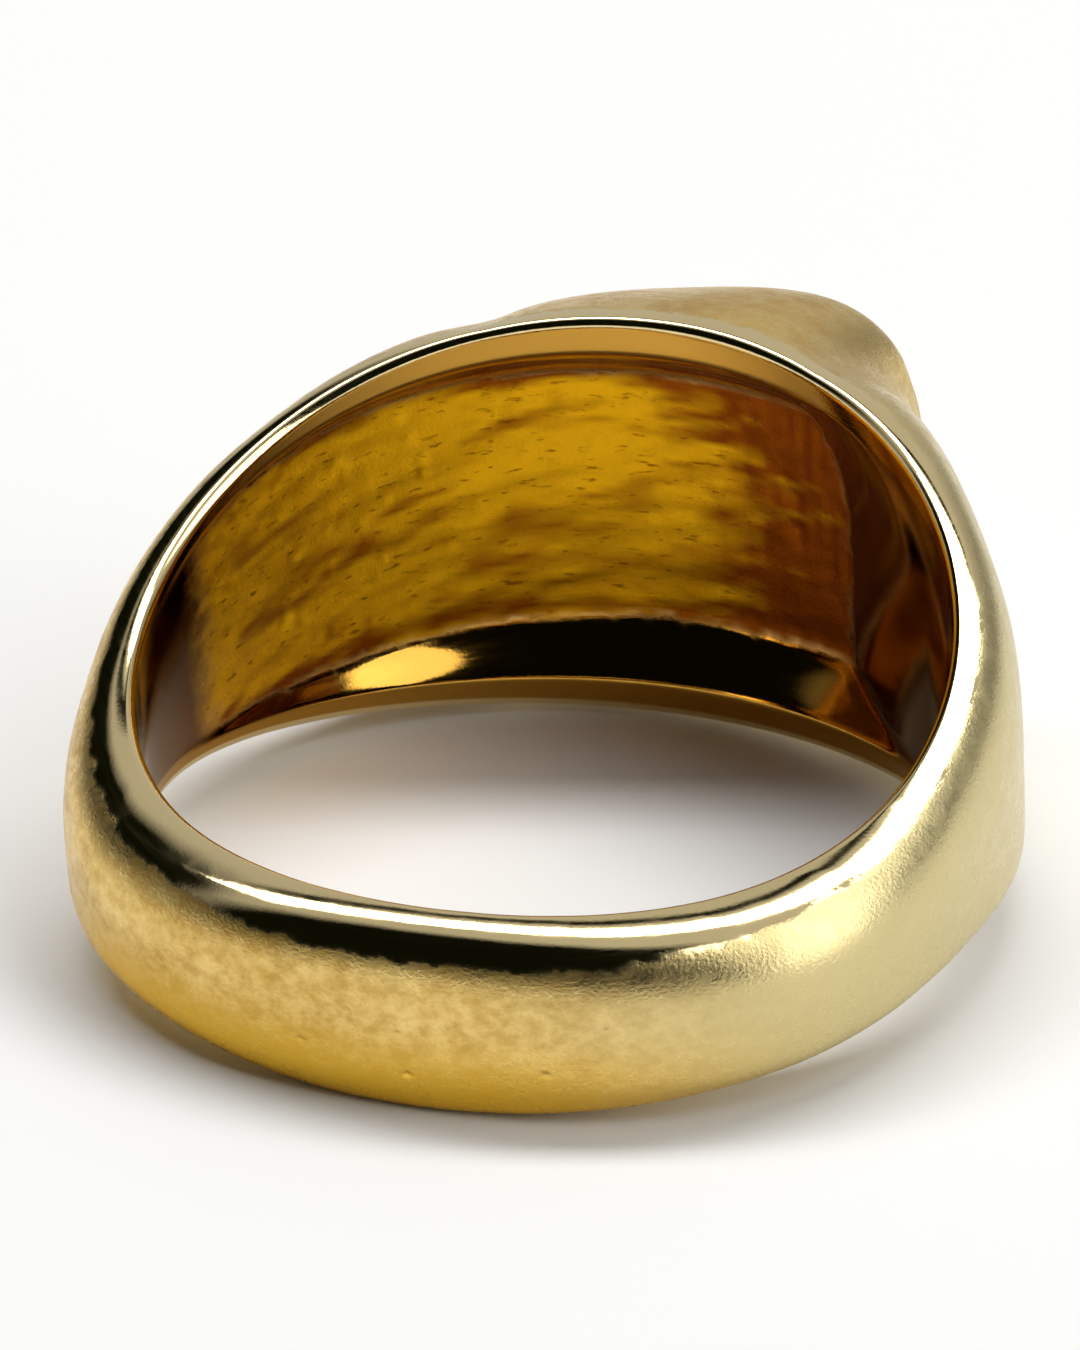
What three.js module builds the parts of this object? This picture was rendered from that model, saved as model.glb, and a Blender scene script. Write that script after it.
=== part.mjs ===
// Hollow-backed signet ring, lying on its side. Millimetres, +Z up.
//
// The ring is first drawn in its own frame: the finger hole's axis is Z, the head's flat table faces +Y
// and the band's mid-plane is z = 0. It is then tipped until the head's lower edge and the palm band's
// lower edge both touch z = 0, as it lies on a table.
//
// Angles (theta) run round the finger hole from the head, positive towards +X.

import * as THREE from 'three';
import { mergeVertices } from 'three/addons/utils/BufferGeometryUtils.js';

const DEG = Math.PI / 180;
const MERGE = 1e-4;

// ---- finger hole and band ----
const HOLE_R = 9.5;                 // 19.0 mm finger hole, US size 9
const RIM_ROUND = 0.25;             // rounding of the hole's edges
const SHOULDER_R = 11.1;            // outside radius where the shoulders meet the band
const SIDE_R = 11.0;                // outside radius at the sides of the finger
const QUARTER_R = 11.7;             // outside radius where the thicker palm band is let in
const PALM_R = 11.25;               // outside radius at the palm
const BAND_SQUARENESS_UPPER = 2.8;  // superellipse exponent of the band's outer section, worn round above
const BAND_SQUARENESS_LOWER = 8.0;  // and squarer below
const BAND_RIDGE_DROP = 0.6;        // its thickest line lies this far below the middle

// half-width of the band along the hole: mean, then its swing once, twice and three times round
const WIDTH_MEAN = 3.4;
const WIDTH_ONCE = 1.89;
const WIDTH_TWICE = 0.64;
const WIDTH_THRICE = -0.18;

// ---- signet table, a flat rounded oval ----
const TABLE_DISTANCE = 13.5;        // from the hole's axis
const TABLE_HALF_LENGTH = 5.4;      // round the finger
const TABLE_HALF_WIDTH = 4.15;      // along the finger
const TABLE_SQUARENESS = 2.7;       // superellipse exponent of its outline
const TABLE_SKEW = 12.5 * DEG;      // the oval is filed slightly askew
const HEAD_RIM_ANGLE = 24.5 * DEG;  // stretch of the hole's edge that the table's walls grow from
const WALL_FULLNESS = 1.45;         // superellipse exponent of the head's side walls
const WALL_FILLING = 0.62;          // how soon the walls fill out along the shoulders, less is sooner

// ---- hollow behind the table ----
const HOLLOW_DEPTH = 1.2;           // of its floor, below the hole's surface
const HOLLOW_FOLD = 25.5 * DEG;     // on the right the floor folds here, and runs straight back to the hole
const HOLLOW_CORNER = 15 * DEG;     // the fold bends back by this at the upper lip
const HOLLOW_END = 92 * DEG;        // on the left the floor thins out to nothing here
const HOLLOW_SIDE_SLOPE = 1.1;      // depth over height on its upper and lower sides, nearly 45 degrees
const HOLLOW_BLEND = 0.35;          // rounding between a side and the floor, as a share of the depth
const LIP_WIDTH = 1.0;              // polished lip between the hollow and the hole's edge, at the head
const LIP_WIDTH_END = 0.5;          // and where the hollow ends

// ---- soldered joints of the palm band ----
const JOINT_ANGLE = 134 * DEG;
const JOINT_THICKNESS = 0.2;

const signed = (angle) => Math.atan2(Math.sin(angle), Math.cos(angle));
const clamp01 = (x) => Math.min(1, Math.max(0, x));
const ease = (x) => {
  const k = clamp01(x);
  return k * k * (3 - 2 * k);
};
const mix = (a, b, k) => a + (b - a) * k;

function halfWidth(theta) {
  return WIDTH_MEAN
    + WIDTH_ONCE * Math.cos(theta)
    + WIDTH_TWICE * Math.cos(2 * theta)
    + WIDTH_THRICE * Math.cos(3 * theta);
}

// Quarter of a superellipse: from one axis (angle 0) to the other (90 degrees), as fractions along both.
function quarter(angle, fullness) {
  const power = 2 / fullness;
  return [Math.max(0, Math.cos(angle)) ** power, Math.max(0, Math.sin(angle)) ** power];
}

// Seen along the hole, a straight shoulder leaves one point and runs on, tangent to a circle about the axis.
function tangentShoulder(fromX, fromY, circleR) {
  const fromR = Math.hypot(fromX, fromY);
  const start = Math.atan2(fromX, fromY);
  const meets = start + Math.acos(circleR / fromR);
  const radius = (angle) => (angle < meets ? circleR / Math.cos(meets - angle) : circleR);
  return { start, meets, radius };
}

const outerShoulder = tangentShoulder(TABLE_HALF_LENGTH, TABLE_DISTANCE, SHOULDER_R);

function bandRadius(angle) {
  const knots = [[outerShoulder.meets, SHOULDER_R], [95 * DEG, SIDE_R], [135 * DEG, QUARTER_R], [Math.PI, PALM_R]];
  for (let i = 1; i < knots.length; i += 1) {
    const [a0, r0] = knots[i - 1];
    const [a1, r1] = knots[i];
    if (angle <= a1) return mix(r0, r1, ease((angle - a0) / (a1 - a0)));
  }
  return PALM_R;
}

// The ridge that a section's outer walls climb to: the table's edge at the head, the belly of the band elsewhere.
// band is how far the walls have changed from the head's shape to the band's.
function ridge(theta) {
  const turn = Math.abs(theta);
  const side = Math.sign(theta) || 1;
  if (turn < HEAD_RIM_ANGLE) {
    const round = (theta / HEAD_RIM_ANGLE) * 90 * DEG;
    const [across, along] = quarter(Math.abs(round), TABLE_SQUARENESS);
    const x = side * TABLE_HALF_LENGTH * along;
    const halfHeight = TABLE_HALF_WIDTH * across;
    const lean = (Math.tan(TABLE_SKEW) / TABLE_HALF_WIDTH) * x;
    return {
      radius: Math.hypot(x, TABLE_DISTANCE),
      angle: Math.atan2(x, TABLE_DISTANCE),
      top: halfHeight * (1 + lean),
      bottom: -halfHeight * (1 - lean),
      band: 0,
    };
  }
  const reach = clamp01((turn - HEAD_RIM_ANGLE) / (outerShoulder.meets - HEAD_RIM_ANGLE));
  const angle = reach < 1 ? mix(outerShoulder.start, outerShoulder.meets, reach) : turn;
  const radius = reach < 1 ? outerShoulder.radius(angle) : bandRadius(turn);
  const band = ease(reach ** WALL_FILLING);
  const height = -BAND_RIDGE_DROP * band;
  return { radius, angle: side * angle, top: height, bottom: height, band };
}

// How far the hollow's floor lies below the hole's surface; high runs from the middle (0) to the upper lip (1).
function hollowDepth(theta, high) {
  const fold = HOLLOW_FOLD - HOLLOW_CORNER * high ** 3;
  const foldEnd = fold + Math.acos(HOLE_R / (HOLE_R + HOLLOW_DEPTH));
  if (theta > foldEnd) return 0;
  if (theta > fold) return HOLE_R / Math.cos(foldEnd - theta) - HOLE_R;
  return HOLLOW_DEPTH * (1 - ease(-theta / HOLLOW_END));
}

// ---- one closed section of the ring at the rim angle theta ----
const WALL_STEPS = 9;
const ROUND_STEPS = 3;
const HOLLOW_STEPS = 6;
const TABLE_STEPS = 3;

function point(radius, angle, z) {
  return new THREE.Vector3(radius * Math.sin(angle), radius * Math.cos(angle), z);
}

// Outer wall from the ridge to the hole's rounded edge; side is +1 for the upper wall and -1 for the lower.
function outerWall(theta, side) {
  const edge = ridge(theta);
  const ridgeZ = side > 0 ? edge.top : edge.bottom;
  const rimZ = side * halfWidth(theta);
  const fullness = mix(WALL_FULLNESS, side > 0 ? BAND_SQUARENESS_UPPER : BAND_SQUARENESS_LOWER, edge.band);
  const depth = edge.radius - HOLE_R;
  const turn = signed(edge.angle - theta);
  const points = [];
  for (let i = 0; i < WALL_STEPS; i += 1) {
    const [out, up] = quarter((i / WALL_STEPS) * 90 * DEG, fullness);
    points.push(point(HOLE_R + depth * out, theta + turn * out, mix(ridgeZ, rimZ, up)));
  }
  for (let i = 0; i <= ROUND_STEPS; i += 1) {
    const roll = (i / ROUND_STEPS) * 90 * DEG;
    const out = (RIM_ROUND * (1 - Math.sin(roll))) / depth;
    const up = (1 - out ** fullness) ** (1 / fullness);
    const z = mix(ridgeZ, rimZ, up) - side * RIM_ROUND * (1 - Math.cos(roll));
    points.push(point(HOLE_R + depth * out, theta + turn * out, z));
  }
  return points;
}

// Inside of the section, from the upper lip across the hollow to the lower lip. The sides slope down to the
// floor, and a smooth minimum rounds the fold between them.
function innerWall(theta) {
  const lip = mix(LIP_WIDTH, LIP_WIDTH_END, ease(Math.abs(theta) / HOLLOW_END));
  const halfHeight = halfWidth(theta) - lip;
  const points = [];
  for (let i = -HOLLOW_STEPS; i <= HOLLOW_STEPS; i += 1) {
    const z = -halfHeight * Math.sin((i / HOLLOW_STEPS) * 90 * DEG);
    const floor = hollowDepth(theta, Math.max(0, z / halfHeight));
    const blend = HOLLOW_BLEND * floor;
    const slope = HOLLOW_SIDE_SLOPE * (halfHeight - Math.abs(z));
    const near = blend > 0 ? Math.max(0, 1 - Math.abs(slope - floor) / blend) : 0;
    const depth = Math.max(0, Math.min(slope, floor) - (near * near * blend) / 4);
    points.push(point(HOLE_R + depth, theta, z));
  }
  return points;
}

function section(anyTheta) {
  const theta = signed(anyTheta);
  const upper = outerWall(theta, 1);
  const lower = outerWall(theta, -1);
  const table = [];
  for (let i = 1; i < TABLE_STEPS; i += 1) {
    table.push(lower[0].clone().lerp(upper[0], i / TABLE_STEPS));
  }
  return [...upper, ...innerWall(theta), ...lower.reverse(), ...table];
}

// ---- lying on its side ----
// The tip about X that brings the head's lower edge and the palm's lower edge down to one level.
function restingTip() {
  const low = (theta) => section(theta).reduce((a, b) => (b.z < a.z ? b : a));
  const head = low(0);
  const palm = low(Math.PI);
  return Math.atan2(palm.z - head.z, head.y - palm.y);
}

const TIP = restingTip();
const tipped = (p) => new THREE.Vector3(
  p.x,
  p.y * Math.cos(TIP) - p.z * Math.sin(TIP),
  p.y * Math.sin(TIP) + p.z * Math.cos(TIP),
);

// ---- pieces ----
const HEAD_STATIONS = 40;
const SHOULDER_STEP = 3.2 * DEG;

// Rim angles of the sections from one angle to the next, close together where the table's outline bends.
function stations(from, to) {
  const wanted = [];
  for (let i = 0; i <= HEAD_STATIONS; i += 1) {
    wanted.push(HEAD_RIM_ANGLE * ((2 * i) / HEAD_STATIONS - 1));
  }
  const steps = Math.ceil((Math.PI - HEAD_RIM_ANGLE) / SHOULDER_STEP);
  for (let i = 1; i <= steps; i += 1) {
    const theta = HEAD_RIM_ANGLE + ((Math.PI - HEAD_RIM_ANGLE) * i) / steps;
    wanted.push(theta, -theta, 2 * Math.PI - theta);
  }
  const clear = 0.3 * SHOULDER_STEP;
  const inside = wanted.filter((theta) => theta > from + clear && theta < to - clear);
  return [from, ...[...new Set(inside)].sort((a, b) => a - b), to];
}

// Which points of a section are distinct: beside the table its two ridges meet in one point.
function distinct(points) {
  const kept = [];
  points.forEach((p, j) => {
    const previous = points[(j + points.length - 1) % points.length];
    if (p.distanceTo(previous) > MERGE) kept.push(j);
  });
  return kept;
}

// The flat end of an arc, as triangles of section indices, counter-clockwise with the radius to the right.
function capTriangles(points) {
  const kept = distinct(points);
  const outline = kept.map((j) => new THREE.Vector2(Math.hypot(points[j].x, points[j].y), points[j].z));
  return THREE.ShapeUtils.triangulateShape(outline, []).map(([a, b, c]) => {
    const turn = outline[b].clone().sub(outline[a]).cross(outline[c].clone().sub(outline[a]));
    return (turn > 0 ? [a, b, c] : [a, c, b]).map((k) => kept[k]);
  });
}

// A closed solid of the ring's sections from one rim angle to another.
function arc(from, to) {
  const sections = stations(from, to).map(section);
  const count = sections[0].length;
  const faces = [];
  for (let i = 0; i + 1 < sections.length; i += 1) {
    for (let j = 0; j < count; j += 1) {
      const here = i * count + j;
      const along = i * count + ((j + 1) % count);
      faces.push([here, along, here + count], [along, along + count, here + count]);
    }
  }
  const last = (sections.length - 1) * count;
  capTriangles(sections[0]).forEach(([a, b, c]) => faces.push([a, c, b]));
  capTriangles(sections[sections.length - 1]).forEach((face) => faces.push(face.map((j) => last + j)));

  const loose = new THREE.BufferGeometry();
  const positions = sections.flat().map(tipped).flatMap((p) => [p.x, p.y, p.z]);
  loose.setAttribute('position', new THREE.Float32BufferAttribute(positions, 3));
  loose.setIndex(faces.flat());
  const merged = mergeVertices(loose, MERGE);
  const index = [...merged.index.array];
  const sound = [];
  for (let k = 0; k < index.length; k += 3) {
    const [a, b, c] = index.slice(k, k + 3);
    if (a !== b && b !== c && c !== a) sound.push(a, b, c);
  }
  merged.setIndex(sound);
  return merged;
}

// ---- materials ----
const castGold = () => new THREE.MeshStandardMaterial({ color: 0xc6a04c, metalness: 1, roughness: 0.3 });
const palmGold = () => new THREE.MeshStandardMaterial({ color: 0xcbaa5a, metalness: 1, roughness: 0.32 });
const solderGold = () => new THREE.MeshStandardMaterial({ color: 0xbfa766, metalness: 1, roughness: 0.35 });

const halfJoint = JOINT_THICKNESS / 2 / QUARTER_R;
const FULL_TURN = 2 * Math.PI;
const pieces = [
  ['signet_head', -JOINT_ANGLE + halfJoint, JOINT_ANGLE - halfJoint, castGold],
  ['solder_seam_right', JOINT_ANGLE - halfJoint, JOINT_ANGLE + halfJoint, solderGold],
  ['palm_shank', JOINT_ANGLE + halfJoint, FULL_TURN - JOINT_ANGLE - halfJoint, palmGold],
  ['solder_seam_left', FULL_TURN - JOINT_ANGLE - halfJoint, FULL_TURN - JOINT_ANGLE + halfJoint, solderGold],
];

const ring = new THREE.Group();
ring.name = 'signet_ring';
for (const [name, from, to, material] of pieces) {
  const mesh = new THREE.Mesh(arc(from, to), material());
  mesh.name = name;
  ring.add(mesh);
}

// Origin: on the surface it lies on, under the middle of its bounding box.
const bounds = new THREE.Box3().setFromObject(ring);
const middle = bounds.getCenter(new THREE.Vector3());
for (const mesh of ring.children) {
  mesh.geometry.translate(-middle.x, -middle.y, -bounds.min.z);
}

export default ring;
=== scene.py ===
import math

import bmesh
import bpy
import numpy as np
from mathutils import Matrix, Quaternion, Vector


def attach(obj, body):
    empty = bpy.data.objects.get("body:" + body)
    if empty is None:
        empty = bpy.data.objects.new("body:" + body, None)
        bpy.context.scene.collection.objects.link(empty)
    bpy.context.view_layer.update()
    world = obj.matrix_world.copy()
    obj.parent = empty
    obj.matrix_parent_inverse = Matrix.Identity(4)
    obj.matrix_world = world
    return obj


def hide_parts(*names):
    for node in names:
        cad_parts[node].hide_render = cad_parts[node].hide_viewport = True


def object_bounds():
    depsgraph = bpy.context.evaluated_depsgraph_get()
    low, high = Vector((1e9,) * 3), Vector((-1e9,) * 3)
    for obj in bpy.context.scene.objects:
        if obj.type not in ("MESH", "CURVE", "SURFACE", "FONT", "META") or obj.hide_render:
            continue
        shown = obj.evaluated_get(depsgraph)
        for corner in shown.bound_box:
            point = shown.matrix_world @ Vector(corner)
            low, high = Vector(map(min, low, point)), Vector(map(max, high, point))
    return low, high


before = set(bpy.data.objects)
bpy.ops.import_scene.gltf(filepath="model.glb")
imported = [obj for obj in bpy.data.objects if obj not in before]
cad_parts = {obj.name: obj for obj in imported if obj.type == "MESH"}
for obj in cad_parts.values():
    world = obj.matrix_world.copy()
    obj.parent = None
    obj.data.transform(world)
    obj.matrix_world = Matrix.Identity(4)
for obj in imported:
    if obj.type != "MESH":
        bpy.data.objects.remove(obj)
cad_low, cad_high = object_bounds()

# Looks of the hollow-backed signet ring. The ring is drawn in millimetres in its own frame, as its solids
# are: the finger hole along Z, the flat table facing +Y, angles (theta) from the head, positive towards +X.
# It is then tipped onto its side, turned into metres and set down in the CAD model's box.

MM = 0.001
TINY = 1e-9

# ---- the ring's shape, in millimetres, as the solids have it ----
HOLE_R = 9.5
RIM_ROUND = 0.25
SHOULDER_R = 11.1
SIDE_R = 11.0
QUARTER_R = 11.7
PALM_R = 11.25
BAND_SQUARENESS_UPPER = 2.8
BAND_RIDGE_DROP = 0.6
BAND_SQUARENESS_LOWER = 8.0
WIDTH_MEAN = 3.4
WIDTH_ONCE = 1.89
WIDTH_TWICE = 0.64
WIDTH_THRICE = -0.18
TABLE_DISTANCE = 13.5
TABLE_HALF_LENGTH = 5.4
TABLE_HALF_WIDTH = 4.15
TABLE_SQUARENESS = 2.7
TABLE_SKEW = math.radians(12.5)
HEAD_RIM_ANGLE = math.radians(24.5)
WALL_FULLNESS = 1.45
WALL_FILLING = 0.62
HOLLOW_DEPTH = 1.2
HOLLOW_FOLD = math.radians(25.5)
HOLLOW_CORNER = math.radians(15)
HOLLOW_END = math.radians(92)
HOLLOW_SIDE_SLOPE = 1.1
HOLLOW_BLEND = 0.35
LIP_WIDTH = 1.0
LIP_WIDTH_END = 0.5
JOINT_ANGLE = math.radians(134)
JOINT_THICKNESS = 0.2
TIP = math.radians(9.891)


def ease(x):
    k = np.clip(x, 0, 1)
    return k * k * (3 - 2 * k)


def mix(a, b, k):
    return a + (b - a) * k


def half_width(theta):
    return (
        WIDTH_MEAN
        + WIDTH_ONCE * np.cos(theta)
        + WIDTH_TWICE * np.cos(2 * theta)
        + WIDTH_THRICE * np.cos(3 * theta)
    )


def quarter(angle, fullness):
    """Quarter of a superellipse, as fractions along both axes."""
    power = 2 / fullness
    return np.maximum(0, np.cos(angle)) ** power, np.maximum(0, np.sin(angle)) ** power


class Shoulder:
    """Seen along the hole, a straight line from one point, tangent to a circle about the axis."""

    def __init__(self, x, y, circle):
        self.circle = circle
        self.start = math.atan2(x, y)
        self.meets = self.start + math.acos(circle / math.hypot(x, y))

    def radius(self, angle):
        return self.circle / math.cos(self.meets - angle) if angle < self.meets else self.circle


OUTER = Shoulder(TABLE_HALF_LENGTH, TABLE_DISTANCE, SHOULDER_R)


def band_radius(turn):
    knots = [
        (OUTER.meets, SHOULDER_R),
        (math.radians(95), SIDE_R),
        (math.radians(135), QUARTER_R),
        (math.pi, PALM_R),
    ]
    for (a0, r0), (a1, r1) in zip(knots, knots[1:]):
        if turn <= a1:
            return mix(r0, r1, ease((turn - a0) / (a1 - a0)))
    return PALM_R


def ridge(theta):
    """The ridge that the walls climb to: its radius, its angle, its upper and lower height, and how far the
    walls have the band's section there instead of the head's."""
    turn = abs(theta)
    side = -1 if theta < 0 else 1
    if turn < HEAD_RIM_ANGLE:
        across, along = quarter(turn / HEAD_RIM_ANGLE * math.pi / 2, TABLE_SQUARENESS)
        x = side * TABLE_HALF_LENGTH * along
        half_height = TABLE_HALF_WIDTH * across
        lean = math.tan(TABLE_SKEW) / TABLE_HALF_WIDTH * x
        top, bottom = half_height * (1 + lean), -half_height * (1 - lean)
        return math.hypot(x, TABLE_DISTANCE), math.atan2(x, TABLE_DISTANCE), top, bottom, 0.0
    reach = min(1, (turn - HEAD_RIM_ANGLE) / (OUTER.meets - HEAD_RIM_ANGLE))
    angle = mix(OUTER.start, OUTER.meets, reach) if reach < 1 else turn
    radius = OUTER.radius(angle) if reach < 1 else band_radius(turn)
    band = ease(reach**WALL_FILLING)
    height = -BAND_RIDGE_DROP * band
    return radius, side * angle, height, height, band


def fullness_of(band, side):
    return mix(WALL_FULLNESS, BAND_SQUARENESS_UPPER if side > 0 else BAND_SQUARENESS_LOWER, band)


def hollow_depth(theta, high):
    """Depth of the hollow's floor; high runs from the middle (0) to the upper lip (1)."""
    fold = HOLLOW_FOLD - HOLLOW_CORNER * high**3
    fold_end = fold + math.acos(HOLE_R / (HOLE_R + HOLLOW_DEPTH))
    straight = HOLE_R / np.cos(np.clip(fold_end - theta, 0, 1)) - HOLE_R
    floor = HOLLOW_DEPTH * (1 - ease(-theta / HOLLOW_END))
    return np.where(theta > fold, straight, floor)


def signed(angle):
    return math.atan2(math.sin(angle), math.cos(angle))


def cylinder_point(radius, angle, z):
    radius, angle, z = np.broadcast_arrays(radius, angle, z)
    return np.stack([radius * np.sin(angle), radius * np.cos(angle), z], -1)


# ---- one closed section, in stretches that keep their number of points all round the ring ----
WALL_POINTS = 60
ROUND_POINTS = 8
LIP_POINTS = 9
HOLLOW_POINTS = 61
TABLE_POINTS = 25
FINE = 120


def spaced(points, count):
    """The same line, with its points evenly spaced and its last one left off."""
    steps = np.linalg.norm(np.diff(points, axis=0), axis=1)
    run = np.concatenate([[0], np.cumsum(steps)])
    wanted = np.linspace(0, run[-1], count + 1)[:-1]
    return np.stack([np.interp(wanted, run, points[:, k]) for k in range(3)], -1)


def wall_line(theta, side):
    """From the ridge down to where the hole's edge starts to round."""
    radius, angle, top, bottom, band = ridge(theta)
    fullness = fullness_of(band, side)
    depth = radius - HOLE_R
    turn = signed(angle - theta)
    last = math.acos((RIM_ROUND / depth) ** (fullness / 2))
    out, up = quarter(np.linspace(0, last, FINE), fullness)
    z = mix(top if side > 0 else bottom, side * half_width(theta), up)
    return cylinder_point(HOLE_R + depth * out, theta + turn * out, z)


def round_line(theta, side):
    """The rounded edge of the hole."""
    radius, angle, top, bottom, band = ridge(theta)
    fullness = fullness_of(band, side)
    depth = radius - HOLE_R
    roll = np.linspace(0, math.pi / 2, FINE)
    out = np.maximum(0, RIM_ROUND * (1 - np.sin(roll)) / depth)
    up = (1 - out**fullness) ** (1 / fullness)
    z = mix(top if side > 0 else bottom, side * half_width(theta), up)
    z = z - side * RIM_ROUND * (1 - np.cos(roll))
    return cylinder_point(HOLE_R + depth * out, theta + signed(angle - theta) * out, z)


def hollow_half(theta):
    return half_width(theta) - mix(LIP_WIDTH, LIP_WIDTH_END, ease(np.abs(theta) / HOLLOW_END))


def hollow_line(theta):
    """Across the hollow, from the upper lip to the lower one."""
    half = hollow_half(theta)
    z = -half * np.linspace(-1, 1, 2 * FINE)
    floor = hollow_depth(theta, np.maximum(0, z / half))
    slope = HOLLOW_SIDE_SLOPE * (half - np.abs(z))
    blend = HOLLOW_BLEND * floor
    near = np.maximum(0, 1 - np.abs(slope - floor) / np.maximum(blend, TINY))
    depth = np.maximum(0, np.minimum(slope, floor) - near**2 * blend / 4)
    return cylinder_point(HOLE_R + depth, theta, z)


def section(theta):
    """A closed section of the ring, from the upper wall through the hole and back over the table."""
    theta = signed(theta)
    upper, lower = wall_line(theta, 1), wall_line(theta, -1)
    upper_round, lower_round = round_line(theta, 1), round_line(theta, -1)
    hollow = hollow_line(theta)
    stretches = [
        spaced(upper, WALL_POINTS),
        spaced(upper_round, ROUND_POINTS),
        spaced(np.array([upper_round[-1], hollow[0]]), LIP_POINTS),
        spaced(hollow, HOLLOW_POINTS),
        spaced(np.array([hollow[-1], lower_round[-1]]), LIP_POINTS),
        spaced(lower_round[::-1], ROUND_POINTS),
        spaced(lower[::-1], WALL_POINTS),
        spaced(np.array([lower[0], upper[0]]), TABLE_POINTS),
    ]
    return np.concatenate(stretches)


COUNTS = (
    WALL_POINTS,
    ROUND_POINTS,
    LIP_POINTS,
    HOLLOW_POINTS,
    LIP_POINTS,
    ROUND_POINTS,
    WALL_POINTS,
    TABLE_POINTS,
)
STARTS = np.concatenate([[0], np.cumsum(COUNTS)])
IS_WALL, IS_ROUND, IS_LIP, IS_HOLLOW, IS_TABLE = (
    np.isin(np.repeat(range(len(COUNTS)), COUNTS), kinds) for kinds in ([0, 6], [1, 5], [2, 4], [3], [7])
)


# ---- even, repeatable noise ----
def lattice(ix, iy, iz, seed):
    n = (ix * 374761393 + iy * 668265263 + iz * 1103515245 + seed * 1274126177) & 0xFFFFFFFF
    n = ((n ^ (n >> 13)) * 1274126177) & 0xFFFFFFFF
    return ((n ^ (n >> 16)) & 0xFFFF) / 65535.0


def noise(points, seed):
    """Smooth noise from -1 to 1 that varies over about one unit."""
    cell = np.floor(points).astype(np.int64)
    f = points - cell
    f = f * f * (3 - 2 * f)
    x, y, z = cell[..., 0], cell[..., 1], cell[..., 2]
    total = 0.0
    for dx in (0, 1):
        for dy in (0, 1):
            for dz in (0, 1):
                weight = 1.0
                for k, d in enumerate((dx, dy, dz)):
                    weight = weight * (f[..., k] if d else 1 - f[..., k])
                total = total + weight * lattice(x + dx, y + dy, z + dz, seed)
    return 2 * total - 1


DENT_STEEPNESS = 1.6


def dents(lay, places, radius, depth):
    """Round dents at places, each an angle in degrees and a height in millimetres."""
    total = 0.0
    for (angle, height), r in zip(places, np.broadcast_to(radius, len(places))):
        gap = np.hypot(lay[..., 0] - math.radians(angle) * HOLE_R, lay[..., 1] - height) / r
        total = total - depth * np.exp(-(gap**2) * DENT_STEEPNESS)
    return total


# ---- the whole ring as one grid of points, sections by points across ----
half_joint = JOINT_THICKNESS / 2 / QUARTER_R
RIGHT_JOINT = (JOINT_ANGLE - half_joint, JOINT_ANGLE + half_joint)
LEFT_JOINT = (2 * math.pi - RIGHT_JOINT[1], 2 * math.pi - RIGHT_JOINT[0])
PIECES = [
    # name, CAD node, slot, first and last angle, sections
    ("cast_head", "signet_head", "cast_gold", -RIGHT_JOINT[0], RIGHT_JOINT[0], 404),
    ("solder_right", "solder_seam_right", "solder_gold", RIGHT_JOINT[0], RIGHT_JOINT[1], 5),
    ("palm_band", "palm_shank", "palm_gold", RIGHT_JOINT[1], LEFT_JOINT[0], 300),
    ("solder_left", "solder_seam_left", "solder_gold", LEFT_JOINT[0], LEFT_JOINT[1], 5),
]


SMOOTHING_STEP = 0.6


def smooth_sections(grid, reach, rounds):
    """Softens sharp corners by a few rounds of averaging with the neighbours, where reach says so."""
    for _ in range(rounds):
        around = (np.roll(grid, 1, 1) + np.roll(grid, -1, 1)) / 2
        along = (np.roll(grid, 1, 0) + np.roll(grid, -1, 0)) / 2
        grid = grid + reach[..., None] * ((around + along) / 2 - grid) * SMOOTHING_STEP
    return grid


def normals_of(grid):
    """Unit normals, outwards from the metal."""
    along = np.roll(grid, -1, 0) - np.roll(grid, 1, 0)
    around = np.roll(grid, -1, 1) - np.roll(grid, 1, 1)
    # Beside the table its two ridges are one point, so its neighbours are the walls on either side.
    beside = turn_of[:, 0] >= HEAD_RIM_ANGLE
    for k in [0, *range(STARTS[7], STARTS[8])]:
        around[beside, k] = grid[beside, 1] - grid[beside, STARTS[7] - 1]
        along[beside, k] = along[beside, 0]
    normal = np.cross(around, along)
    length = np.linalg.norm(normal, axis=-1, keepdims=True)
    return normal / np.maximum(length, TINY)


thetas = np.concatenate([np.linspace(a, b, n + 1)[:-1] for *_, a, b, n in PIECES])
grid = np.stack([section(t) for t in thetas])
angle_of = np.repeat(thetas[:, None], grid.shape[1], 1)
turn_of = np.abs(np.arctan2(np.sin(angle_of), np.cos(angle_of)))

# The corners of the table's edge and of the hollow's are softened.
CORNER_POINTS = 3
CORNER_ROUNDS = 6
corner = np.zeros(grid.shape[:2])
beside_table = turn_of[:, 0] < HEAD_RIM_ANGLE * 1.03
beside_hollow = turn_of[:, 0] < HOLLOW_END
for starts, reach in (((STARTS[7], STARTS[8], 0), beside_table), ((STARTS[3], STARTS[4]), beside_hollow)):
    for start in starts:
        for k in range(-CORNER_POINTS, CORNER_POINTS + 1):
            corner[:, (start + k) % grid.shape[1]] = np.where(reach, 1, 0)
grid = smooth_sections(grid, corner, CORNER_ROUNDS)

# So are the creases where the table's walls meet the shoulders.
CREASE_REACH = math.radians(9)
CREASE_ROUNDS = 40
crease = ease(1 - np.abs(turn_of - HEAD_RIM_ANGLE) / CREASE_REACH) * IS_WALL[None]
grid = smooth_sections(grid, crease, CREASE_ROUNDS)

radius_of = np.hypot(grid[..., 0], grid[..., 1])
lay = np.stack([angle_of * HOLE_R, grid[..., 2], radius_of], -1)
normal_of = normals_of(grid)

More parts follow.
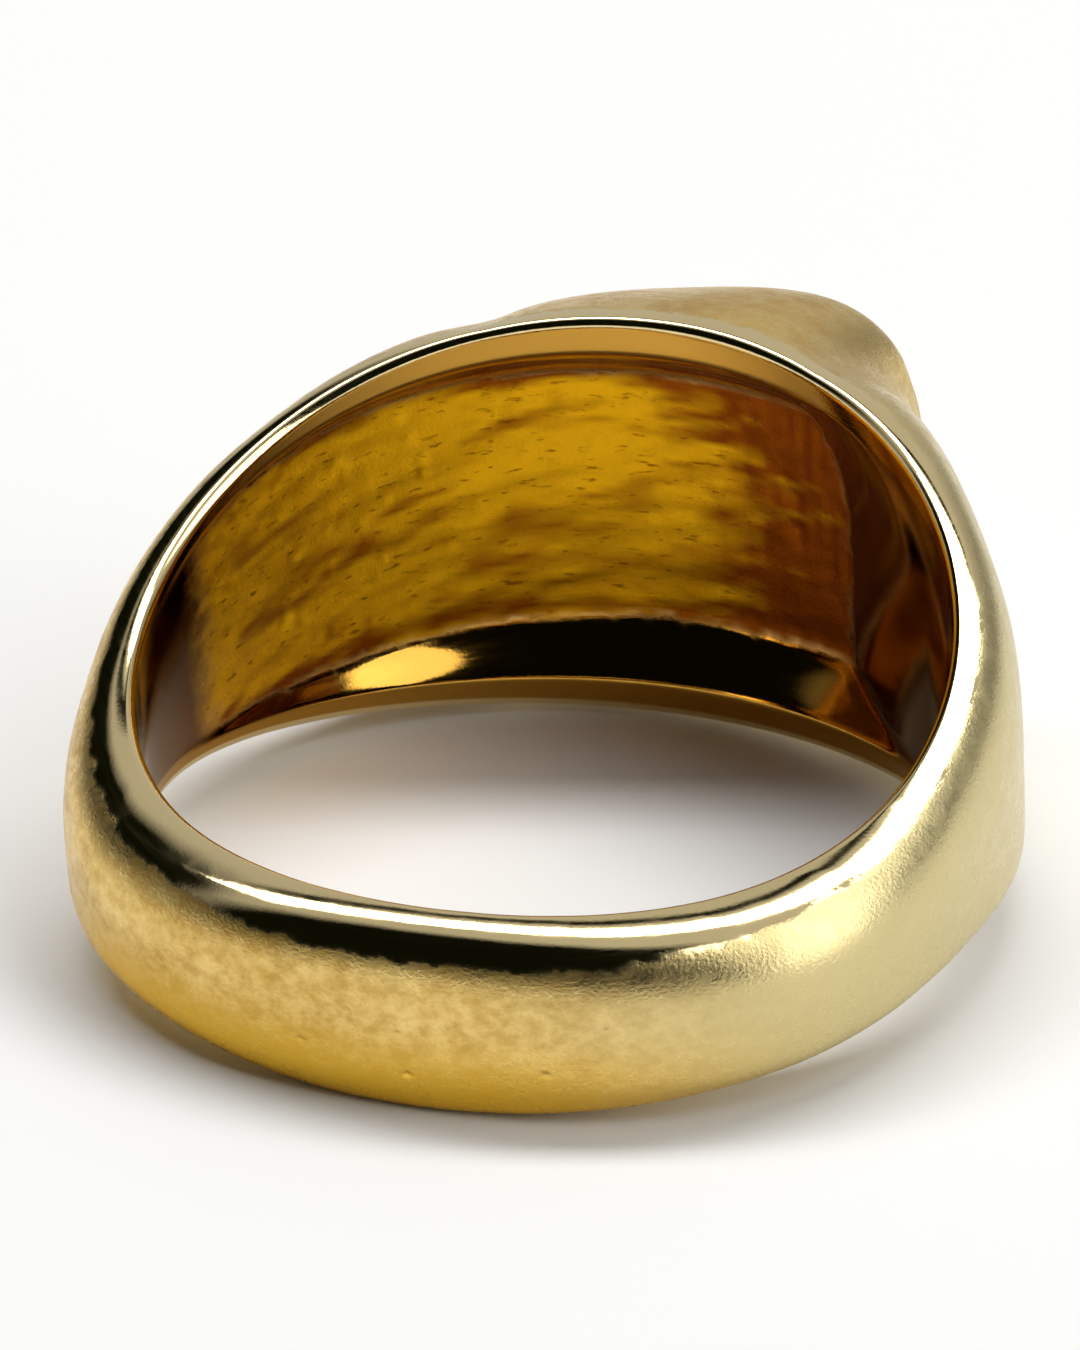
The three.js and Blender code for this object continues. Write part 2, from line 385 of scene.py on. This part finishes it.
# ---- what each point of the surface is like, 0 to 1 ----
CAST_END = math.radians(82)  # the rough floor runs this far round on the left
LIP_SHADE_END = math.radians(112)  # the painted shade on the lips and the hollow's smooth sides fades out up to here
LIP_SHADE_FADE = math.radians(14)
POLISH_WIDTH_HEAD = 0.55  # the polished border of the hole's edges
POLISH_WIDTH_PALM = 1.45
POLISH_WIDENS_FROM = math.radians(85)
POLISH_WIDENS_OVER = math.radians(70)
POLISH_FADE = 0.16
STREAK_RISE = 0.16  # the floor's streaks climb this much for each millimetre round the finger
SHADE_REACH_FOLD = 5.0  # how far the painted shade spreads over the floor from its fold and from its sides
SHADE_REACH_SIDE = 0.9
RIGHT_LIGHT_FROM = 1.0
RIGHT_LIGHT_OVER = 9.0

theta_of = np.arctan2(np.sin(angle_of), np.cos(angle_of))
round_of = theta_of * HOLE_R
height_of = grid[..., 2]
ragged = 0.10 * noise(grid * 2.2 + 9, 21) + 0.06 * noise(grid * 6 + 9, 22)

# The hollow: its floor is as cast, its sides and its two ends are smooth, and the ends carry painted shade, a
# dark colour standing in for the shade and dark reflections there.
half_of = hollow_half(theta_of)
high_of = np.maximum(0, height_of / half_of)
gap_to_side = HOLLOW_SIDE_SLOPE * (half_of - np.abs(height_of)) - hollow_depth(theta_of, high_of)
gap_to_fold = (HOLLOW_FOLD - HOLLOW_CORNER * np.clip(high_of, 0, 1) ** 3 - theta_of) * HOLE_R
gap_to_end = (theta_of + CAST_END) * HOLE_R
between_ends = ease((gap_to_fold + 1.5 * ragged) / 0.3 + 0.5) * ease((gap_to_end + 2 * ragged) / 1.6)
cast_of = np.where(IS_HOLLOW[None], between_ends * ease((gap_to_side + ragged) / 0.25), 0.0)
shade_near_hollow = ease((LIP_SHADE_END - turn_of) / LIP_SHADE_FADE)
# Painted shade: the hollow's smooth ends get a dark gold where shade and dark reflections fall.
painted_shade_of = np.where(IS_HOLLOW[None], shade_near_hollow * (1 - between_ends), 0.0)
# Painted shade: the lips and the hollow's smooth sides get a darker gold than the rest of the polished gold.
shaded_lip_of = np.where((IS_LIP | IS_HOLLOW)[None], shade_near_hollow * (1 - cast_of), 0.0)

# Outside: polished along the hole's edges, in a wider border round the palm, and satin beyond.
steps = np.linalg.norm(np.diff(grid, axis=1, append=grid[:, :1]), axis=-1)
run = np.concatenate([np.zeros((len(grid), 1)), np.cumsum(steps, 1)[:, :-1]], 1)
from_upper_rim = run[:, [STARTS[1]]] - run
from_lower_rim = run - run[:, [STARTS[6]]]
from_rim = np.where(np.arange(grid.shape[1]) < STARTS[1], from_upper_rim, from_lower_rim)
widening = ease((turn_of - POLISH_WIDENS_FROM) / POLISH_WIDENS_OVER)
polished_width = mix(POLISH_WIDTH_HEAD, POLISH_WIDTH_PALM, widening) + ragged
edge_of = np.where(IS_WALL[None], ease((polished_width - from_rim) / POLISH_FADE), 0.0)
inside_of = np.where((IS_LIP | IS_ROUND | IS_HOLLOW)[None], 1.0, 0.0)
table_of = np.where(IS_TABLE[None] & (turn_of < HEAD_RIM_ANGLE), 1.0, 0.0)
polish_of = np.clip(inside_of + edge_of + table_of, 0, 1) * (1 - cast_of)

# Colour: the floor is red-brown in streaks, darkened further towards its fold and its sides by painted shade;
# the outside is painted paler and greyer on the right as a painted reflection of the light there, and warmer
# amber low on the palm as a painted reflection of the floor's shade where the ring stands on it.
drift = height_of - STREAK_RISE * theta_of * HOLE_R


def streaked(round_finger, rate_along, rate_across):
    """Points for noise that is drawn out into streaks round the finger; the rates are per millimetre."""
    return np.stack([round_finger * rate_along, drift * rate_across, 0 * drift], -1)


long_streak = noise(streaked(round_of, 0.3, 1.5) + 30, 31)
short_streak = noise(streaked(round_of, 1.1, 4.2) + 30, 32)
# Red-brown streaks, plus painted shade that darkens the floor towards its fold and its sides.
streaks_and_shade_of = 0.08 + 0.60 * long_streak + 0.60 * short_streak + 1.6 * ease(1 - gap_to_fold / SHADE_REACH_FOLD)
streaks_and_shade_of = np.clip(streaks_and_shade_of + 0.7 * ease(1 - gap_to_side / SHADE_REACH_SIDE), 0, 1)
# Painted light: the outside turns paler and greyer towards the right, standing in for the reflection of the
# light on that side.
painted_right_light_of = ease((grid[..., 0] - RIGHT_LIGHT_FROM) / RIGHT_LIGHT_OVER)
# Painted shade: warmer, deeper amber low on the palm, standing in for the reflection of the floor's shade
# near where the ring touches it.
contact_shade_of = ease((0.3 - height_of) / 2.2) * ease((turn_of - math.radians(120)) / 0.4) * (1 - painted_right_light_of)

# Rough casting in the hollow: low lumps, tool marks that run round the finger, and pits.
PIT_COUNT = 100
PIT_DEPTH = 0.05
BIG_PITS = [(15.0, 1.2), (16.5, 0.7), (17.0, -0.2)]
lumps = 0.030 * noise(lay * (0.6, 1.0, 1), 3) + 0.010 * noise(lay * (2.0, 2.4, 1), 4)
streaks = 0.022 * noise(streaked(lay[..., 0], 0.3, 2.6), 6)
streaks = streaks + 0.012 * noise(streaked(lay[..., 0], 0.9, 6.0), 5)
chatter = 0.024 * noise(np.stack([lay[..., 0] * 4.6, lay[..., 1] * 1.1, 0 * drift], -1), 7)
chatter = chatter * ease((lay[..., 0] + 0.5) / 2.0)
scatter = np.random.default_rng(11)
pit_places = np.stack([scatter.uniform(-60, 22, PIT_COUNT), scatter.uniform(-3.4, 3.9, PIT_COUNT)], -1)
pits = dents(lay, pit_places, scatter.uniform(0.06, 0.17, PIT_COUNT), PIT_DEPTH)
big_pits = dents(lay, BIG_PITS, 0.24, 0.08)
relief = cast_of * (lumps + streaks + chatter + pits + big_pits)

# Hand finishing outside: the slight waves of filing and buffing, and a few casting pinholes in the band.
PINHOLES = [(156, 0.4), (173, 0.3), (180, -0.1), (186, 0.3), (179, -1.2), (163, -0.9), (192, -0.8)]
PINHOLE_RADIUS = 0.075
PINHOLE_DEPTH = 0.05
waves = 0.011 * noise(grid * 0.45 + 50, 8) + 0.004 * noise(grid * 1.1 + 50, 9)
between_walls = IS_TABLE[None] & (turn_of >= HEAD_RIM_ANGLE)
outside = np.where((IS_WALL | IS_ROUND)[None] | between_walls, 1.0, 0.0)
on_palm = ease((turn_of - math.radians(100)) / 0.2)
band_outside = outside * on_palm * np.where(radius_of > HOLE_R + 1, 1, 0)
pinholes = dents(lay, PINHOLES, PINHOLE_RADIUS, PINHOLE_DEPTH)
relief = relief - outside * np.abs(waves) + band_outside * pinholes
grid = grid + normal_of * relief[..., None]

# Down onto its side, in the CAD model's box.
cos_tip, sin_tip = math.cos(TIP), math.sin(TIP)
tipped = np.stack(
    [
        grid[..., 0],
        grid[..., 1] * cos_tip - grid[..., 2] * sin_tip,
        grid[..., 1] * sin_tip + grid[..., 2] * cos_tip,
    ],
    -1,
) * MM
low, high = tipped.reshape(-1, 3).min(0), tipped.reshape(-1, 3).max(0)
cad_low_at, cad_high_at = np.array(cad_low), np.array(cad_high)
tipped = tipped + (cad_low_at + cad_high_at - low - high) / 2
tipped = np.clip(tipped, cad_low_at, cad_high_at)


SHARP_ANGLE = math.radians(50)
FACTS = {
    "cast": cast_of,
    "dark": painted_shade_of,
    "lip": shaded_lip_of,
    "polish": polish_of,
    "streaks_and_shade": streaks_and_shade_of,
    "pale": painted_right_light_of,
    "contact_shade": contact_shade_of,
}


def ring_faces(count, across):
    """Quads between count sections of across points each, and the two flat ends."""
    faces = []
    for i in range(count - 1):
        here, there = i * across, (i + 1) * across
        for j in range(across):
            k = (j + 1) % across
            faces.append((here + j, here + k, there + k, there + j))
    faces.append(tuple(range(across))[::-1])
    faces.append(tuple(range((count - 1) * across, count * across)))
    return faces


def give_facts(mesh, rows):
    """Stores where each point lies round the ring, in millimetres, and what its surface is like."""
    around = lay[rows].copy()
    angles = np.unwrap(angle_of[rows, 0])
    around[..., 0] = angles[:, None] * HOLE_R
    vector = mesh.attributes.new("lay", "FLOAT_VECTOR", "POINT")
    vector.data.foreach_set("vector", around.reshape(-1).astype(np.float32))
    for fact, values in FACTS.items():
        layer = mesh.attributes.new(fact, "FLOAT", "POINT")
        layer.data.foreach_set("value", values[rows].reshape(-1).astype(np.float32))


def weld(mesh):
    """Joins the points that fall together beside the table."""
    bm = bmesh.new()
    bm.from_mesh(mesh)
    bmesh.ops.remove_doubles(bm, verts=bm.verts, dist=2e-7)
    bmesh.ops.dissolve_degenerate(bm, edges=bm.edges, dist=1e-7)
    bm.to_mesh(mesh)
    bm.free()


def make_piece(name, first, last):
    """A closed mesh of the sections first to last."""
    rows = np.arange(first, last + 1) % len(tipped)
    mesh = bpy.data.meshes.new(name)
    mesh.from_pydata(tipped[rows].reshape(-1, 3).tolist(), [], ring_faces(len(rows), tipped.shape[1]))
    give_facts(mesh, rows)
    weld(mesh)
    mesh.shade_smooth()
    mesh.set_sharp_from_angle(angle=SHARP_ANGLE)
    obj = bpy.data.objects.new(name, mesh)
    bpy.context.scene.collection.objects.link(obj)
    return obj


# ---- materials ----
def add_node(tree, kind, settings=None, inputs=None):
    made = tree.nodes.new(kind)
    for name, value in (settings or {}).items():
        setattr(made, name, value)
    for name, value in (inputs or {}).items():
        if isinstance(value, bpy.types.NodeSocket):
            tree.links.new(value, made.inputs[name])
        else:
            made.inputs[name].default_value = value
    return made


def attribute(tree, name, output="Fac"):
    return add_node(tree, "ShaderNodeAttribute", {"attribute_name": name}).outputs[output]


def noise_node(tree, where, scale, detail=3.0, roughness=0.5):
    inputs = {"Vector": where, "Scale": scale, "Detail": detail, "Roughness": roughness}
    return add_node(tree, "ShaderNodeTexNoise", None, inputs).outputs["Fac"]


def stretch(tree, where, scale):
    inputs = {"Vector": where, "Scale": scale}
    return add_node(tree, "ShaderNodeMapping", None, inputs).outputs["Vector"]


def spread(tree, value, low, high, to_low, to_high):
    inputs = {"Value": value, "From Min": low, "From Max": high, "To Min": to_low, "To Max": to_high}
    return add_node(tree, "ShaderNodeMapRange", None, inputs).outputs["Result"]


def blend(tree, factor, a, b):
    """Colour a where factor is 0, b where it is 1."""
    made = add_node(tree, "ShaderNodeMix", {"data_type": "RGBA"})
    for socket, value in ((made.inputs[0], factor), (made.inputs[6], a), (made.inputs[7], b)):
        if isinstance(value, bpy.types.NodeSocket):
            tree.links.new(value, socket)
        else:
            socket.default_value = value
    return made.outputs[2]


def blend_value(tree, factor, a, b):
    made = add_node(tree, "ShaderNodeMix", {"data_type": "FLOAT"})
    for socket, value in ((made.inputs[0], factor), (made.inputs[2], a), (made.inputs[3], b)):
        if isinstance(value, bpy.types.NodeSocket):
            tree.links.new(value, socket)
        else:
            socket.default_value = value
    return made.outputs[0]


def bump(tree, height, distance, normal=None):
    inputs = {"Height": height, "Distance": distance, "Strength": 1.0}
    if normal is not None:
        inputs["Normal"] = normal
    return add_node(tree, "ShaderNodeBump", None, inputs).outputs["Normal"]


GRAIN_DEPTH = 0.000012
SCRATCH_DEPTH = 0.000001

# Gold by place, as linear colours.
# Painted light: the paler, greyer gold of the right side.
RIGHT_LIGHT_GOLD = (0.64, 0.54, 0.27, 1)
# Painted shade: the warm amber low on the palm.
CONTACT_SHADE_GOLD = (0.96, 0.58, 0.05, 1)
POLISHED_GOLD = (0.86, 0.69, 0.36, 1)
# Painted shade: the darker gold of the lips and the hollow's sides.
SHADED_LIP_GOLD = (0.52, 0.28, 0.045, 1)
# Painted shade: the dark gold of the hollow's ends.
PAINTED_SHADE_GOLD = (0.19, 0.08, 0.014, 1)
AMBER_DEEP = (0.90, 0.45, 0.006, 1)
AMBER = (1.0, 0.58, 0.010, 1)
# Streaks and painted shade: the red-brown of the floor's streaks and of its darkened fold and sides.
STREAK_AND_SHADE_BROWN = (0.30, 0.07, 0.003, 1)
BURNT_DASHES = (0.22, 0.045, 0.002, 1)


def floor_colour(tree, where, mottle):
    """The hollow's floor: amber flecks, red-brown streaks deepened by painted shade towards its fold and
    sides, and short darker dashes.
    """
    flecked = blend(tree, spread(tree, mottle, 0.3, 0.7, 0, 1), AMBER_DEEP, AMBER)
    streaks_and_shade = blend(tree, attribute(tree, "streaks_and_shade"), flecked, STREAK_AND_SHADE_BROWN)
    dashes = noise_node(tree, stretch(tree, where, (2.4, 7.0, 1.0)), 1.0, 2.0, 0.5)
    return blend(tree, spread(tree, dashes, 0.62, 0.74, 0.0, 0.7), streaks_and_shade, BURNT_DASHES)


def gold_colour(tree, where, mottle, pale, deep):
    """Mottled satin between pale and deep, then the gold's colour by place."""
    broad = noise_node(tree, where, 0.5, 2.0)
    uneven = add_node(tree, "ShaderNodeMath", {"operation": "ADD"})
    tree.links.new(spread(tree, broad, 0.35, 0.65, 0.0, 0.4), uneven.inputs[0])
    tree.links.new(spread(tree, mottle, 0.40, 0.62, 0.0, 0.6), uneven.inputs[1])
    colour = blend(tree, uneven.outputs[0], pale, deep)
    # By place, over the mottled satin: the right side's painted light, the palm's painted shade low down, the
    # polished gold, the painted shade of the lips, the hollow's sides and its ends, and the cast floor with
    # its own painted shade.
    by_place = (
        ("pale", RIGHT_LIGHT_GOLD),
        ("contact_shade", CONTACT_SHADE_GOLD),
        ("polish", POLISHED_GOLD),
        ("lip", SHADED_LIP_GOLD),
        ("dark", PAINTED_SHADE_GOLD),
        ("cast", floor_colour(tree, where, mottle)),
    )
    for fact, gold_there in by_place:
        colour = blend(tree, attribute(tree, fact), colour, gold_there)
    return colour


def gold_roughness(tree, mottle, scratches, satin):
    rough = spread(tree, mottle, 0.35, 0.65, satin - 0.06, satin + 0.08)
    polished = spread(tree, scratches, 0.3, 0.7, 0.05, 0.12)
    as_cast = spread(tree, mottle, 0.3, 0.7, 0.36, 0.52)
    rough = blend_value(tree, attribute(tree, "polish"), rough, polished)
    return blend_value(tree, attribute(tree, "cast"), rough, as_cast)


def gold_normal(tree, where, scratches):
    """Fine grain, nearly gone where the gold is polished, and hairline scratches round the ring."""
    grain = noise_node(tree, where, 13.0, 3.0, 0.6)
    unpolished = spread(tree, attribute(tree, "polish"), 0.0, 1.0, 1.0, 0.1)
    speckle = add_node(tree, "ShaderNodeMath", {"operation": "MULTIPLY"})
    tree.links.new(grain, speckle.inputs[0])
    tree.links.new(unpolished, speckle.inputs[1])
    normal = bump(tree, speckle.outputs[0], GRAIN_DEPTH)
    return bump(tree, scratches, SCRATCH_DEPTH, normal)


def gold(name, pale, deep, satin):
    """Yellow gold: satin and mottled outside, polished at the edges and lips, rough as cast in the hollow."""
    material = bpy.data.materials.new(name)
    material.use_nodes = True
    tree = material.node_tree
    tree.nodes.clear()
    where = attribute(tree, "lay", "Vector")
    mottle = noise_node(tree, where, 2.4, 6.0, 0.7)
    scratches = noise_node(tree, stretch(tree, where, (0.8, 14.0, 1.0)), 1.0, 3.0, 0.6)
    inputs = {
        "Base Color": gold_colour(tree, where, mottle, pale, deep),
        "Metallic": 1.0,
        "Roughness": gold_roughness(tree, mottle, scratches, satin),
        "Normal": gold_normal(tree, where, scratches),
    }
    shader = add_node(tree, "ShaderNodeBsdfPrincipled", None, inputs)
    add_node(tree, "ShaderNodeOutputMaterial", None, {"Surface": shader.outputs["BSDF"]})
    return material


MATERIALS = {
    "cast_gold": gold("cast_gold", (0.86, 0.62, 0.22, 1), (0.56, 0.33, 0.065, 1), 0.28),
    "palm_gold": gold("palm_gold", (0.86, 0.62, 0.22, 1), (0.57, 0.34, 0.07, 1), 0.30),
    "solder_gold": gold("solder_gold", (0.80, 0.58, 0.20, 1), (0.63, 0.43, 0.11, 1), 0.28),
}

first = 0
for name, node, slot, _, _, count in PIECES:
    piece = make_piece(name, first, first + count)
    piece.data.materials.append(MATERIALS[slot])
    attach(piece, "root")
    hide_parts(node)
    first += count

# ---- camera ----
CAMERA_AZIMUTH = math.radians(17.68)
CAMERA_ELEVATION = math.radians(25.42)
CAMERA_DISTANCE = 0.18989
CAMERA_TARGET = Vector((-0.00042, -0.00075, 0.00557))
CAMERA_ROLL = math.radians(0.19)
toward_camera = Vector(
    (
        math.sin(CAMERA_AZIMUTH) * math.cos(CAMERA_ELEVATION),
        -math.cos(CAMERA_AZIMUTH) * math.cos(CAMERA_ELEVATION),
        math.sin(CAMERA_ELEVATION),
    )
)
camera_data = bpy.data.cameras.new("camera")
camera_data.lens = 217.2
camera_data.sensor_width = 36
camera_data.clip_start = 0.005
camera_data.clip_end = 10
camera = bpy.data.objects.new("camera", camera_data)
camera.location = CAMERA_TARGET + toward_camera * CAMERA_DISTANCE
look = (-toward_camera).to_track_quat("-Z", "Y")
camera.rotation_euler = (look @ Quaternion((0, 0, 1), CAMERA_ROLL)).to_euler()
bpy.context.scene.collection.objects.link(camera)
bpy.context.scene.camera = camera

# ---- floor ----
FLOOR_HALF = 2
floor_mesh = bpy.data.meshes.new("floor")
floor_corners = [(x * FLOOR_HALF, y * FLOOR_HALF, 0) for x, y in ((-1, -1), (1, -1), (1, 1), (-1, 1))]
floor_mesh.from_pydata(floor_corners, [], [(0, 1, 2, 3)])
floor = bpy.data.objects.new("floor", floor_mesh)
bpy.context.scene.collection.objects.link(floor)
paper = bpy.data.materials.new("paper")
paper.use_nodes = True
paper_shader = paper.node_tree.nodes["Principled BSDF"]
paper_shader.inputs["Base Color"].default_value = (0.85, 0.85, 0.84, 1)
paper_shader.inputs["Roughness"].default_value = 0.9
floor_mesh.materials.append(paper)

# ---- light ----
# Directions are given as an azimuth round the ring from the camera's side, positive to the camera's right,
# and an elevation.
def direction(azimuth, elevation):
    turn, rise = CAMERA_AZIMUTH + math.radians(azimuth), math.radians(elevation)
    return Vector((math.sin(turn) * math.cos(rise), -math.cos(turn) * math.cos(rise), math.sin(rise)))


def softbox(name, azimuth, elevation, distance, width, height, radiance):
    """A rectangular soft light in that direction, in metres, facing the ring."""
    data = bpy.data.lights.new(name, "AREA")
    data.shape = "RECTANGLE"
    data.size, data.size_y = width, height
    data.energy = radiance * math.pi * width * height
    lamp = bpy.data.objects.new(name, data)
    lamp.location = direction(azimuth, elevation) * distance
    lamp.rotation_euler = (-lamp.location).to_track_quat("-Z", "Y").to_euler()
    lamp.visible_camera = False
    bpy.context.scene.collection.objects.link(lamp)


softbox("right", azimuth=62, elevation=30, distance=0.6, width=0.36, height=0.8, radiance=2.4)
softbox("overhead", azimuth=180, elevation=74, distance=0.6, width=0.8, height=0.15, radiance=8.5)

# The room: pale all round and dimmer on the left and the right, with a dark card on the camera's side, one
# behind on the left, and a narrow one across the back.
ROOM = 0.55
LEFT_DIMMED = 0.8
RIGHT_DIMMED = 0.55
DARK = (0.004, 0.005, 0.002, 1)
BACK_CARD_HEIGHT = 0.83
world = bpy.data.worlds.new("studio")
world.use_nodes = True
room = world.node_tree
toward = add_node(room, "ShaderNodeTexCoord").outputs["Generated"]


def along(axis):
    """How far each direction of the room points along axis."""
    dot = add_node(room, "ShaderNodeVectorMath", {"operation": "DOT_PRODUCT"}, {0: toward, 1: axis})
    return dot.outputs["Value"]


def maths(operation, a, b):
    return add_node(room, "ShaderNodeMath", {"operation": operation}, {0: a, 1: b}).outputs[0]


def oval(azimuth, elevation, wide, high, soft):
    """1 outside an oval card and 0 on it; wide and high are its half sizes in degrees, soft its edge."""
    sideways = maths("DIVIDE", along(direction(azimuth + 90, 0)), math.sin(math.radians(wide)))
    upright = maths("DIVIDE", along(direction(azimuth, elevation + 90)), math.sin(math.radians(high)))
    off_centre = maths("ADD", maths("MULTIPLY", sideways, sideways), maths("MULTIPLY", upright, upright))
    outside = spread(room, off_centre, 1 - soft, 1 + soft, 0, 1)
    other_side = spread(room, along(direction(azimuth, elevation)), -0.05, 0.1, 1, 0)
    return maths("MAXIMUM", outside, other_side)


front = oval(azimuth=-12, elevation=34, wide=66, high=44, soft=0.15)
left_behind = oval(azimuth=-126, elevation=32, wide=30, high=20, soft=0.3)
off_height = maths("ABSOLUTE", maths("SUBTRACT", along(Vector((0, 0, 1))), BACK_CARD_HEIGHT), 0.0)
not_behind = spread(room, along(direction(180, 0)), 0.1, 0.3, 1, 0)
across_back = maths("MAXIMUM", spread(room, off_height, 0.02, 0.04, 0, 1), not_behind)
bright = maths("MULTIPLY", maths("MULTIPLY", front, left_behind), across_back)
wall = spread(room, along(direction(-100, 20)), 0.2, 0.9, ROOM, LEFT_DIMMED * ROOM)
wall = maths("MULTIPLY", wall, spread(room, along(direction(115, 10)), 0.75, 0.95, 1.0, RIGHT_DIMMED))
shade = add_node(room, "ShaderNodeCombineXYZ", None, {"X": wall, "Y": wall, "Z": wall}).outputs[0]
shade = blend(room, bright, DARK, shade)
room.links.new(shade, room.nodes["Background"].inputs["Color"])
bpy.context.scene.world = world
bpy.context.scene.view_settings.view_transform = "Standard"

bpy.context.view_layer.update()
